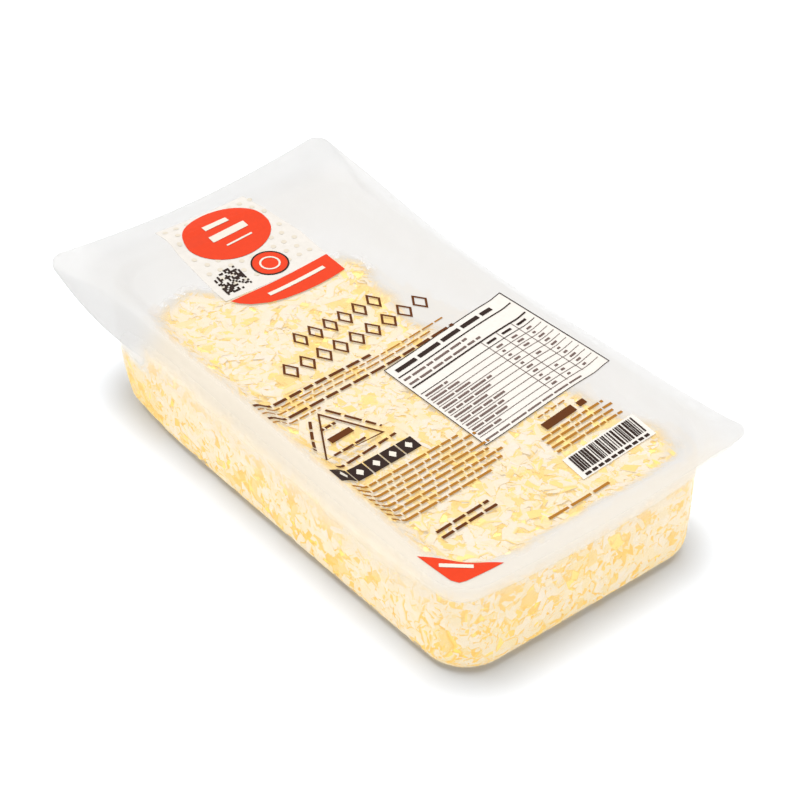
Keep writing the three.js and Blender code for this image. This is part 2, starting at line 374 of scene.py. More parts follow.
SHRED_STOPS = [
    (0.0, (0.56, 0.48, 0.39, 1)),
    (0.25, (0.55, 0.45, 0.27, 1)),
    (0.5, (0.53, 0.385, 0.12, 1)),
    (0.7, (0.50, 0.30, 0.04, 1)),
    (1.0, (0.50, 0.32, 0.05, 1)),
]
# the wall copy is lighter than the top copy: painted light making up for the shade the side walls lie in
TOP_STOPS = [(at, tuple(c * DIM for c in col[:3]) + (1,)) for at, col in SHRED_STOPS]
WALL_STOPS = [(at, tuple(c * SIDE_DIM_PAINTED_LIGHTER for c in col[:3]) + (1,)) for at, col in SHRED_STOPS]
# the core shows only in gaps: its deep yellow and strong orange glow are painted light and shade of the crevices, and
# its grey-brown top stop is painted shade in the hollows along the foot
CORE_STOPS = [(0.0, (0.50, 0.35, 0.10, 1)), (0.72, (0.48, 0.30, 0.05, 1)), (0.9, (0.30, 0.23, 0.19, 1))]
# the glows are painted light, emission that stands in for light passing through the cheese; the wall glow is stronger
# to lift the shaded walls
GLOW = [(0.0, (0.46, 0.38, 0.28, 1)), (0.28, (0.48, 0.36, 0.165, 1)), (0.7, (0.62, 0.38, 0.05, 1)), (1.0, (0.82, 0.58, 0.16, 1))]
WALL_GLOW = [(0.0, (0.55, 0.475, 0.358, 1)), (0.28, (0.56, 0.43, 0.20, 1)), (0.7, (0.635, 0.372, 0.052, 1)), (1.0, (0.78, 0.55, 0.155, 1))]
CORE_GLOW = [(0.0, (0.78, 0.54, 0.13, 1)), (0.72, (0.74, 0.47, 0.07, 1)), (0.9, (0.14, 0.10, 0.08, 1))]
shred_mat = cheese_material("cheese_shreds", TOP_STOPS, 0.55, GLOW)
wall_shred_mat = cheese_material("cheese_shreds_at_the_walls_painted_lighter", WALL_STOPS, 0.55, WALL_GLOW)
core_mat = cheese_material("cheese_core", CORE_STOPS, 0.6, CORE_GLOW)

# clear tray film
tray_mat, nt, p = material("clear_tray_film")
wa = nt.nodes.new("ShaderNodeAttribute")
wa.attribute_name = "painted_food_glow"
# the film's colour is mostly a painted glow (emission), warm where food lies behind it and neutral at the empty far end
nt.links.new(ramp(nt, wa.outputs["Fac"], [(0.0, (0.45, 0.447, 0.44, 1)), (1.0, (0.50, 0.46, 0.38, 1))]).outputs[0], p.inputs["Base Color"])
nt.links.new(ramp(nt, wa.outputs["Fac"], [(0.0, (0.30, 0.30, 0.295, 1)), (1.0, (0.36, 0.30, 0.22, 1))]).outputs[0],
             p.inputs["Emission Color"])
p.inputs["Emission Strength"].default_value = 1.0
p.inputs["Roughness"].default_value = 0.14
p.inputs["IOR"].default_value = 1.5
p.inputs["Specular IOR Level"].default_value = 0.4
n = noise(nt, 45, 3.0)
at = nt.nodes.new("ShaderNodeAttribute")
at.attribute_name = "veil"
nt.links.new(math_node(nt, "MULTIPLY", at.outputs["Fac"], math_node(nt, "MULTIPLY_ADD", n.outputs["Fac"], 1.2, 0.4)),
             p.inputs["Alpha"])
nt.links.new(bump(nt, n.outputs["Fac"], 0.3, 0.0012), p.inputs["Normal"])

# frosted top film: clear where it lies on the food, milky where it spans a gap or is sealed to the flange
film_mat, nt, p = material("frosted_top_film")
at = nt.nodes.new("ShaderNodeAttribute")
at.attribute_name = "haze"
n = noise(nt, 30, 3.0)
grain = noise(nt, 420, 2.0)
wa = nt.nodes.new("ShaderNodeAttribute")
wa.attribute_name = "painted_food_glow"
# the film's brightness is mostly a painted glow (emission), warmed where food lies behind it and dimmed on the far
# flange
tint = ramp(nt, wa.outputs["Fac"], [(0.2, (0.135, 0.134, 0.132, 1)), (1.0, (0.175, 0.165, 0.147, 1))])
nt.links.new(tint.outputs[0], p.inputs["Base Color"])
lit = ramp(nt, wa.outputs["Fac"], [(0.0, (0.452, 0.446, 0.438, 1)), (0.2, (0.50, 0.492, 0.482, 1)), (1.0, (0.48, 0.42, 0.335, 1))])
nt.links.new(lit.outputs[0], p.inputs["Emission Color"])
p.inputs["Emission Strength"].default_value = 1.0
p.inputs["Roughness"].default_value = 0.5
p.inputs["IOR"].default_value = 1.35
p.inputs["Specular IOR Level"].default_value = 0.2
hz = math_node(nt, "MULTIPLY_ADD", n.outputs["Fac"], 0.06, -0.03)
hz = math_node(nt, "ADD", at.outputs["Fac"], hz)
nt.links.new(math_node(nt, "MULTIPLY", hz, 1.0, clamped=True), p.inputs["Alpha"])
nt.links.new(bump(nt, grain.outputs["Fac"], 0.12, 0.0003), p.inputs["Normal"])


def ink_material(name, colour, roughness=0.45):
    m, nt, p = material(name)
    n = noise(nt, 500, 2.0)
    r = ramp(nt, n.outputs["Fac"], [(0.25, [c * DIM for c in colour[:3]] + [1.0]), (0.75, [c * DIM * 1.07 for c in colour[:3]] + [1.0])])
    nt.links.new(r.outputs[0], p.inputs["Base Color"])
    p.inputs["Roughness"].default_value = roughness
    p.inputs["Specular IOR Level"].default_value = 0.06
    nt.links.new(bump(nt, n.outputs["Fac"], 0.1, 0.0002), p.inputs["Normal"])
    return m


# ---------------------------------------------------------------- tray
rings = [np.array([[0, CY, 0.0]])]
foot = wall_ring(FILLET, 0.0)
for s in (0.2, 0.4, 0.6, 0.8, 1.0):
    rings.append(about(foot, s, lambda x, y: np.zeros_like(x)))
for a in np.radians(np.arange(10, 91, 10)):
    rings.append(wall_ring(FILLET * (1 - math.sin(a)), FILLET * (1 - math.cos(a))))
base_y = ring_of(HX, HY, RC, CY)[0][:, 1]
for s in np.linspace(0, 1, 13)[1:]:
    rings.append(wall_ring(0.0, lerp(FILLET, rim(base_y) - TRAY_T - RIM_R, s)))
for a in np.radians([20, 40, 60, 78]):
    o = RIM_R * (1 - math.cos(a))
    line = ring_of(HX + o, HY + o, RC + o, CY)[0]
    rings.append(np.column_stack([line, rim(line[:, 1]) - TRAY_T - RIM_R * (1 - math.sin(a))]))
TRAY_FLANGE_T = (0.02, 0.12, 0.25, 0.4, 0.55, 0.7, 0.85, 1.0)
for t in TRAY_FLANGE_T:
    rings.append(flange_ring(t, -TRAY_T))
t_share = np.concatenate([np.zeros(sum(len(r) for r in rings[:-len(TRAY_FLANGE_T)])), np.repeat(TRAY_FLANGE_T, len(rings[-1]))])
tray, t_low, *_ = film_piece("tray_film", rings, TRAY_T)
# milky towards the seal, and all over the empty far end
below_rim = rim(t_low[:, 1]) - t_low[:, 2]
far_end = smooth((t_low[:, 1] - CY - 66) / 16) * smooth((-20 - t_low[:, 0]) / 20)
back = np.maximum(smooth((t_low[:, 1] - CY - 88) / 15), smooth((t_low[:, 0] - 40) / 15) * smooth((t_low[:, 1] - CY + 60) / 20))
near_side = smooth((-96 - t_low[:, 1]) / 12)
veil = 0.05 + 0.05 * smooth((t_low[:, 2] - 15) / 20) + 0.30 * smooth((3.0 - t_low[:, 2]) / 2.2)
veil = veil + lerp(0.46, 0.30, near_side) * smooth((lerp(29.0, 17.0, near_side) - below_rim) / lerp(16.0, 10.0, near_side))
veil = np.maximum(veil, 0.68 * far_end * smooth((t_low[:, 2] - 26) / 8))
veil = np.maximum(veil, 0.36 * back * smooth((t_low[:, 2] - 14) / 12))
veil = lerp(veil, 0.05, smooth(t_share / 0.6))
attribute(tray, "veil", np.concatenate([veil, veil]))
attribute(tray, "painted_food_glow", np.concatenate([1 - far_end, 1 - far_end]))
tray.data.materials.append(tray_mat)

# ---------------------------------------------------------------- heap of cheese: height map
# The line, in plan, inside which the heap touches the top film
TOUCH = np.array([
    (-62, 60), (-58, 70), (-48, 78), (-33, 83), (-24, 71), (-8, 66), (3, 61), (15, 63), (26, 64), (31, 56), (30, 48),
    (26, 40), (27, 30), (21, 18), (25, 7), (30, -10), (35, -30), (38, -48), (40.6, -59.5), (41, -70),
    (47, -80), (51, -90), (49, -99), (40, -106), (22, -108), (0, -107), (-20, -109), (-40, -108), (-54, -104),
    (-62, -92)], float)
TOUCH *= np.array([1.0, 1.015])
TOUCH[:, 1] += CY


def outside_touch(x, y):
    """Distance outside the touching area; negative inside it."""
    inside = np.zeros(x.shape, bool)
    best = np.full(x.shape, 1e9)
    a = TOUCH
    b = np.roll(TOUCH, -1, 0)
    for (ax, ay), (bx, by) in zip(a, b):
        dx, dy = bx - ax, by - ay
        t = clamp(((x - ax) * dx + (y - ay) * dy) / (dx * dx + dy * dy))
        best = np.minimum(best, np.hypot(x - ax - t * dx, y - ay - t * dy))
        cond = (ay > y) != (by > y)
        cross = (bx - ax) * (y - ay) / ((by - ay) if by != ay else 1e-9) + ax
        inside ^= cond & (x < cross)
    return np.where(inside, -best, best)


def lumps(x, y, scale, seed, octaves=2):
    """Smooth value noise from -1 to 1."""
    total, amp, norm = np.zeros(np.shape(x)), 1.0, 0.0
    for o in range(octaves):
        g = np.random.default_rng(seed + o).uniform(-1, 1, (64, 64))
        u, v = x / scale * 2 ** o + 31.7, y / scale * 2 ** o + 17.3
        i, j = np.floor(u).astype(int), np.floor(v).astype(int)
        fu, fv = smooth(u - i), smooth(v - j)
        g00, g10 = g[i % 64, j % 64], g[(i + 1) % 64, j % 64]
        g01, g11 = g[i % 64, (j + 1) % 64], g[(i + 1) % 64, (j + 1) % 64]
        total = total + amp * lerp(lerp(g00, g10, fu), lerp(g01, g11, fu), fv)
        norm += amp
        amp *= 0.5
    return total / norm


def heap_height(x, y):
    zf = film_height(x, y, inward_of(x, y)) - 0.3
    d = outside_touch(x, y) + 1.6 * lumps(x, y, 6.0, 5)
    foot_z = 20 + 7 * smooth((60 - y) / 40) + 2.5 * lumps(x, y, 11, 9)
    fall = (zf - foot_z) * (1 - np.exp(-np.maximum(d, 0) / 15.0))
    rough = (0.6 + 0.5 * lumps(x, y, 5.0, 21)) * smooth(d / 3 + 0.6)
    dip = 1.5 * smooth((lumps(x, y, 7.0, 33) - 0.35) / 0.4)
    return zf - np.maximum(fall, 0) - rough - dip


STEP = 1.0
GX = np.arange(-64, 64.1, STEP)
GY = np.arange(CY - 114, CY + 114.1, STEP)
MX, MY = np.meshgrid(GX, GY, indexing="ij")
HEAP = heap_height(MX, MY)


def on_grid(g, x, y):
    u = clamp((x - GX[0]) / STEP, 0, len(GX) - 1.001)
    v = clamp((y - GY[0]) / STEP, 0, len(GY) - 1.001)
    i, j = u.astype(int), v.astype(int)
    fu, fv = u - i, v - j
    return lerp(lerp(g[i, j], g[i + 1, j], fu), lerp(g[i, j + 1], g[i + 1, j + 1], fu), fv)


def heap(x, y):
    return on_grid(HEAP, x, y)


# ---------------------------------------------------------------- keeping shreds inside the pack
def keep_in(v, spare, skin=0.5):
    """Presses points back inside the tray and under the top film, spare millimetres clear of them."""
    x, y, z = v[..., 0], v[..., 1], v[..., 2]
    low = TRAY_T + 0.1 + spare
    z = np.maximum(z, low)
    u = clamp(z / (rim(y) - TRAY_T - RIM_R))
    bel = np.sin(math.pi * u)
    zz = np.minimum(z, FILLET)
    foot_in = FILLET - np.sqrt(np.maximum(FILLET ** 2 - (FILLET - zz) ** 2, 0))
    inset = DRAFT * (1 - u) + foot_in + skin + spare + foot_draw(x, y, u)
    hx = HX - inset + BELLY_X * bel * clamp(1 - ((y - CY) / HY) ** 2)
    hy = HY - inset + BELLY_Y * bel * clamp(1 - (x / HX) ** 2)
    r = np.maximum(RC - inset, 2.0)
    ax, ay = np.abs(x), np.abs(y - CY)
    qx, qy = ax - (hx - r), ay - (hy - r)
    out = np.hypot(np.maximum(qx, 0), np.maximum(qy, 0)) + np.minimum(np.maximum(qx, qy), 0) - r
    both = (qx > 0) & (qy > 0)
    length = np.hypot(qx, qy) + 1e-9
    gx = np.where(both, qx / length, (qx >= qy).astype(float))
    gy = np.where(both, qy / length, (qx < qy).astype(float))
    push = np.maximum(out, 0)
    x = x - np.sign(x) * gx * push
    y = y - np.sign(y - CY) * gy * push
    top = film_height(x, y, np.maximum(inward_of(x, y), 0)) - 0.12 - spare
    z = np.minimum(z, top)
    return np.stack([x, y, z], -1)


# ---------------------------------------------------------------- shreds
def shreds(centre, normal, length, width, thick, tilt, stations, tone_and_shade, seed, curl=1.0, yaw=None):
    """Curved strips with four-sided sections. Returns vertices, faces and the tone of each vertex, with painted shade
    added on the undersides.
    """
    r = np.random.default_rng(seed)
    n = len(centre)
    nz = normal + tilt[:, None] * r.normal(size=(n, 3))
    nz /= np.linalg.norm(nz, axis=1)[:, None]
    helper = r.normal(size=(n, 3)) if yaw is None else yaw
    t = helper - nz * np.sum(helper * nz, 1)[:, None]
    t /= np.linalg.norm(t, axis=1)[:, None]
    b = np.cross(nz, t)
    s = np.linspace(-0.5, 0.5, stations + 1)
    k_side = r.normal(0, 0.055, n) * curl
    k_up = r.normal(0.01, 0.035, n) * curl
    twist = r.normal(0, 0.3, n) * curl
    kink = r.normal(0, 0.35, n) * curl
    S = s[None, :] * length[:, None]
    off_b = k_side[:, None] * S * S + kink[:, None] * width[:, None] * np.sin(s[None, :] * 7)
    off_n = -k_up[:, None] * S * S
    off_b -= off_b.mean(1, keepdims=True)
    off_n -= off_n.mean(1, keepdims=True)
    mid = (centre[:, None] + t[:, None] * S[..., None] + b[:, None] * off_b[..., None] + nz[:, None] * off_n[..., None])
    ang = twist[:, None] * s[None, :]
    bb = b[:, None] * np.cos(ang)[..., None] + nz[:, None] * np.sin(ang)[..., None]
    nn = nz[:, None] * np.cos(ang)[..., None] - b[:, None] * np.sin(ang)[..., None]
    end = r.uniform(0.45, 0.95, (n, 2))
    taper = 1 - np.abs(2 * s[None, :]) ** 2.5 * (1 - np.where(s[None, :] < 0, end[:, :1], end[:, 1:]))
    taper = taper * (1 + 0.12 * r.normal(size=taper.shape))
    w = 0.5 * width[:, None] * taper
    h = 0.5 * thick[:, None] * (0.35 + 0.65 * taper)
    skew = 0.25 * r.normal(size=(n, 1))
    corners = [(-1, -0.8), (1, -0.8), (0.86, 0.9), (-0.86, 0.9)]
    v = np.stack([mid + bb * ((cw + skew * ch) * w)[..., None] + nn * (ch * h)[..., None] for cw, ch in corners], 2)
    v = v.reshape(n, (stations + 1) * 4, 3)
    k = 4
    faces = []
    for a in range(stations):
        for c in range(k):
            d = (c + 1) % k
            faces.append([a * k + c, a * k + d, (a + 1) * k + d, (a + 1) * k + c])
    last = stations * k
    faces += [[3, 2, 1, 0], [last, last + 1, last + 2, last + 3]]
    f = np.array(faces)[None] + (np.arange(n) * (stations + 1) * k)[:, None, None]
    # painted shade: the lower corners of each shred get a deeper tone, yellower and glowing more, as on an underside
    under = np.tile([0.7, 0.7, 0.0, 0.0], stations + 1)
    tones_and_shade = clamp(tone_and_shade[:, None] + under[None, :] + 0.03 * r.normal(size=(n, (stations + 1) * k))).ravel()
    return v, f.reshape(-1, 4), tones_and_shade


def shred_piece(name, groups, mat=None):
    vs, fs, ts, base = [], [], [], 0
    for v, f, t in groups:
        v = v.reshape(-1, 3)
        vs.append(v)
        fs.append(f + base)
        ts.append(t)
        base += len(v)
    ob = numpy_mesh(name, np.concatenate(vs), [np.concatenate(fs)], smooth_shade=False)
    attribute(ob, "tone_and_shade", np.concatenate(ts))
    ob.data.materials.append(mat or shred_mat)
    return ob


def sizes(n, mean, spread, lo, hi):
    return clamp(rng.lognormal(math.log(mean), spread, n), lo, hi)


def patch(x, y, seed):
    """Broad deeper yellow patches, 0 to 1."""
    return smooth((lumps(x, y, 5.4, seed, 2) - 0.22) / 0.3)


def top_shreds(n, mean_l, w_range, depth, seed, tone_and_shade_range, big=False):
    """Loose shreds on top of the heap, the depth range given below its surface."""
    x = rng.uniform(-60, 60, n * 2)
    y = rng.uniform(CY - 110.5, CY + 110.5, n * 2)
    inn = inward_of(x, y)
    keep = inn > 0.6
    if big:
        keep &= (x > 18 + 14 * rng.random(n * 2)) & (y < -52)
    x, y = x[keep][:n], y[keep][:n]
    z = heap(x, y)
    gx = (heap(x + 1.5, y) - heap(x - 1.5, y)) / 3
    gy = (heap(x, y + 1.5) - heap(x, y - 1.5)) / 3
    nrm = np.stack([-gx, -gy, np.ones_like(x)], 1)
    nrm /= np.linalg.norm(nrm, axis=1)[:, None]
    down = rng.uniform(*depth, len(x))
    c = np.stack([x, y, z], 1) - nrm * down[:, None]
    length = sizes(len(x), mean_l, 0.38, 2.0, 16)
    width = rng.uniform(*w_range, len(x))
    out = outside_touch(x, y)
    # random patches of deeper tone, and a deeper tone away from where the film touches, which is painted shade of the
    # lower cheese
    tone_and_shade = rng.uniform(*tone_and_shade_range, len(x)) + 0.12 * rng.random(len(x)) ** 3 + 0.5 * patch(x, y, 3) + 0.4 * smooth((out + 1.5) / 5)
    tone_and_shade = np.minimum(tone_and_shade, 0.72)
    tilt = 0.05 + 0.24 * smooth(out / 6)
    v, f, t = shreds(c, nrm, length, width, rng.uniform(0.25, 0.42, len(x)), tilt, 4 if big else 3, tone_and_shade, seed, 0.8)
    spare = np.maximum(down - 0.1, 0)[:, None] * 0.6
    return keep_in(v, spare), f, t


WALL_P, WALL_N = outline(HX, HY, RC, CY, 24, 120, 60)
WALL_S = np.concatenate([[0], np.cumsum(np.linalg.norm(np.roll(WALL_P, -1, 0) - WALL_P, axis=1))])
ARC = FILLET * math.pi / 2


def hollow(s, z):
    """Small spaces along the foot that nothing was pushed into, 0 to 1."""
    return smooth((lumps(s, z * 1.2, 8.0, 71, 1) - 0.2) / 0.2) * smooth((6.6 - z) / 2.0)


def wall_shreds(n, mean_l, w_range, depth, seed, tone_and_shade_range):
    """Shreds pressed against the side walls and the rounded floor edge."""
    s = rng.uniform(0, WALL_S[-1], n)
    k = np.clip(np.searchsorted(WALL_S, s) - 1, 0, len(WALL_P) - 1)
    f = (s - WALL_S[k]) / (WALL_S[k + 1] - WALL_S[k])
    nxt = (k + 1) % len(WALL_P)
    p = lerp(WALL_P[k], WALL_P[nxt], f[:, None])
    o = lerp(WALL_N[k], WALL_N[nxt], f[:, None])
    o /= np.linalg.norm(o, axis=1)[:, None]
    lip = heap(p[:, 0] - o[:, 0] * 2.5, p[:, 1] - o[:, 1] * 2.5) + 0.3
    v = rng.uniform(0, 1, n) * (ARC + np.maximum(lip - FILLET, 1))
    a = np.minimum(v / FILLET, math.pi / 2)
    z = np.where(v < ARC, FILLET * (1 - np.cos(a)), FILLET + v - ARC)
    ins = np.where(v < ARC, FILLET * (1 - np.sin(a)), 0)
    down = rng.uniform(*depth, n)
    nz = np.where(v < ARC, -np.cos(a), 0.0)
    nh = np.where(v < ARC, np.sin(a), 1.0)
    nrm = np.stack([o[:, 0] * nh, o[:, 1] * nh, nz], 1)
    u = clamp(z / (rim(p[:, 1]) - 2.4))
    push = (belly(o[:, 0], o[:, 1], p[:, 0], p[:, 1], u) - DRAFT * (1 - u) - ins - 0.5
            - foot_draw(p[:, 0], p[:, 1], u))
    c = np.stack([p[:, 0] + o[:, 0] * push, p[:, 1] + o[:, 1] * push, z + 0.5], 1) - nrm * down[:, None]
    keep = hollow(s, c[:, 2]) < 0.3
    c, nrm, down, s, v = c[keep], nrm[keep], down[keep], s[keep], v[keep]
    m = len(c)
    length = sizes(m, mean_l, 0.36, 1.8, 12)
    width = rng.uniform(*w_range, m)
    far_foot = smooth((p[keep, 1] - CY - 62) / 20) * smooth((26 - c[:, 2]) / 10) * (p[keep, 0] < 0)
    tone_and_shade = rng.uniform(*tone_and_shade_range, m) + 0.12 * rng.random(m) ** 3 + 0.5 * patch(s, v, 44) + 0.3 * far_foot
    tone_and_shade = np.minimum(tone_and_shade, 0.72)
    vv, ff, tt = shreds(c, nrm, length, width, rng.uniform(0.25, 0.42, m), np.full(m, 0.04), 3, tone_and_shade, seed, 0.8)
    spare = down[:, None] * 0.7
    return keep_in(vv, spare), ff, tt


def floor_shreds(n, seed):
    x = rng.uniform(-52, 52, n)
    y = rng.uniform(CY - 103, CY + 103, n)
    down = rng.uniform(0, 1.0, n)
    c = np.stack([x, y, 0.6 + down], 1)
    nrm = np.tile([0.0, 0.0, -1.0], (n, 1))
    length = sizes(n, 7, 0.34, 2.5, 14)
    width = rng.uniform(2.0, 3.4, n)
    # deeper shreds get a deeper tone: painted shade
    tone_and_shade = clamp(0.08 + 0.22 * rng.random(n) + 0.35 * down + 0.3 * patch(x, y, 60))
    v, f, t = shreds(c, nrm, length, width, width * 0.3, np.full(n, 0.05), 3, tone_and_shade, seed, 0.8)
    return keep_in(v, down[:, None] * 0.7), f, t


pieces = []
# the under layers get deeper tones: painted shade between the shreds
pieces.append(shred_piece("shreds_top", [top_shreds(2700, 7.6, (2.4, 4.4), (0.0, 0.3), 101, (0.0, 0.14)),
                                         top_shreds(2500, 6.4, (2.0, 3.4), (0.35, 0.7), 111, (0.4, 0.72))]))
pieces.append(shred_piece("shreds_crumbs_top", [top_shreds(900, 3.4, (1.3, 2.3), (0.0, 0.5), 102, (0.0, 0.3))]))
pieces.append(shred_piece("shreds_long", [top_shreds(110, 10.5, (3.2, 5.0), (0.0, 0.3), 103, (0.3, 0.75), big=True)]))
pieces.append(shred_piece("shreds_walls", [wall_shreds(3600, 7.2, (2.4, 4.4), (0.0, 0.3), 104, (0.0, 0.14))], wall_shred_mat))
pieces.append(shred_piece("shreds_walls_under", [wall_shreds(3200, 6.0, (2.0, 3.4), (0.35, 0.7), 114, (0.45, 0.72))], wall_shred_mat))
pieces.append(shred_piece("shreds_crumbs_walls", [wall_shreds(1300, 3.1, (1.2, 2.2), (0.0, 0.5), 105, (0.0, 0.35))], wall_shred_mat))
pieces.append(shred_piece("shreds_floor", [floor_shreds(2600, 106)], wall_shred_mat))

# ---------------------------------------------------------------- core under the loose shreds
core_in = 1.5
rings = [np.array([[0, CY, TRAY_T + 1.4]])]
foot = wall_ring(FILLET, 0.0)
for s in np.linspace(0.1, 1, 9):
    rings.append(about(foot, s, lambda x, y: np.full_like(x, TRAY_T + 1.4)))
for a in np.radians([20, 40, 60, 80]):
    e = FILLET - core_in
    rings.append(wall_ring(core_in + e * (1 - math.sin(a)), TRAY_T + 1.4 + e * (1 - math.cos(a))))
ring_mid = wall_ring(core_in, RIM / 2)
lip = heap(ring_mid[:, 0], ring_mid[:, 1]) - 0.95
for s in np.linspace(0, 1, 12):
    rings.append(wall_ring(core_in, lerp(FILLET, lip, s)))
wall = rings[-1]
for share in np.linspace(0.985, 0.03, 48):
    rings.append(about(wall, share, lambda x, y: heap(x, y) - 0.95))
rings.append(np.array([[0, CY, float(heap(np.array([0.0]), np.array([CY]))[0]) - 0.95]]))
ring_sizes = [len(r) for r in rings]
cv = np.concatenate(rings)
cq, ct = sheet_faces(ring_sizes)
cn = vertex_normals(cv, cq, ct)
relief = 0.3 * lumps(cv[:, 0] + cv[:, 2] * 0.7, cv[:, 1] - cv[:, 2] * 0.6, 2.6, 301, 2)
ring_s = np.concatenate([[0], np.cumsum(np.linalg.norm(np.diff(ring_of(HX, HY, RC, CY)[0], axis=0), axis=1))])
core_s = np.concatenate([ring_s if n == len(ring_s) else np.zeros(n) for n in ring_sizes])
empty = hollow(core_s, cv[:, 2] - 0.9) * (inward_of(cv[:, 0], cv[:, 1]) < FILLET + 3)
cv = cv - cn * (relief - 1.0 * empty)[:, None]
core = numpy_mesh("cheese_core", cv, [cq[:, ::-1], ct[:, ::-1]])
# besides being dented in, the hollows along the foot are painted grey-brown as shade
attribute(core, "tone_and_shade", clamp(0.36 + 0.32 * lumps(cv[:, 0], cv[:, 1] + cv[:, 2], 9, 303) + empty))
core.data.materials.append(core_mat)

# ---------------------------------------------------------------- top film
rings = [np.array([[0, CY, float(film_height(0.0, CY, SINK_W))]])]
inner = ring_of(HX - SINK_W, HY - SINK_W, RC - SINK_W, CY)[0]
full = lambda x, y: film_height(x, y, SINK_W)
for s in np.linspace(0, 1, 40)[1:-1]:
    rings.append(about(inner, s, full))
for inset in np.linspace(SINK_W, 0, 15):
    line = ring_of(HX - inset, HY - inset, RC - inset, CY)[0]
    rings.append(np.column_stack([line, film_height(line[:, 0], line[:, 1], inset)]))
FLANGE_T = (0.02, 0.08, 0.16, 0.26, 0.38, 0.5, 0.62, 0.74, 0.86, 0.95, 1.0)
for t in FLANGE_T:
    rings.append(flange_ring(t, GAP))
f_share = np.concatenate([np.zeros(sum(len(r) for r in rings[:-len(FLANGE_T)])),
                          np.repeat(FLANGE_T, len(rings[-1]))])
film, f_low, f_up, f_q, f_t = film_piece("frosted_film", rings, FILM_T)
film.data.materials.append(film_mat)


def haze_at(p):
    x, y, z = p[:, 0], p[:, 1], p[:, 2]
    inn = inward_of(x, y)
    away = outside_touch(x, y) + 1.8 * lumps(x, y, 9.0, 5)
    total = 0.19 + 0.73 * smooth((away + 5.5) / 8.0)
    total = np.maximum(total, 0.9 * smooth((4.6 - inn) / 7.0))
    # the free edge thins out where the food's side lies right behind it
    total = total * (1 - lerp(0.86, 0.42, smooth((-104 - y) / 10)) * smooth((f_share - 0.45) / 0.55) * near_food * smooth((60 - x) / 15))
    return 1 - np.sqrt(1 - clamp(total, 0, 0.97))


fx, fy = f_low[:, 0], f_low[:, 1]
near_food = np.maximum(smooth((-30 - fx) / 20) * smooth((72 - fy) / 26), smooth((-85 - fy) / 20) * smooth((66 - fx) / 25))
haze = haze_at(f_low)
attribute(film, "haze", np.concatenate([haze, haze]))
f_inn = inward_of(fx, fy)
painted_food_glow = smooth((3 - f_inn) / 6) * near_food
painted_food_glow = painted_food_glow * lerp(1.0, 0.6, smooth((-95 - fy) / 20)) * smooth((68 - fy) / 24)
# painted light: 0 on the far flange, painted a little darker, 0.2 on the plain film, 1 on the film with food behind it,
# glowing warmer there
painted_food_glow = 0.2 + 0.8 * painted_food_glow - 0.2 * smooth((fy - 103) / 12) * smooth((fx + 58) / 14)
attribute(film, "painted_food_glow", np.concatenate([painted_food_glow, painted_food_glow]))

# ---------------------------------------------------------------- print, as thin shapes laid on the top film
tris_up = [tuple(int(i) for i in q[[0, 1, 2]]) for q in f_q] + [tuple(int(i) for i in q[[0, 2, 3]]) for q in f_q]
tris_up += [tuple(int(i) for i in t) for t in f_t]
surface = BVHTree.FromPolygons([Vector(p) for p in f_up], tris_up)


def on_film(x, y, lift):
    hit, nrm, _, _ = surface.ray_cast(Vector((x, y, 200)), Vector((0, 0, -1)))
    if hit is None:
        hit, nrm, _, _ = surface.find_nearest(Vector((x, y, 55)))
    if nrm.z < 0:
        nrm = -nrm
    q = hit + nrm * lift
    return (q.x, q.y, q.z)


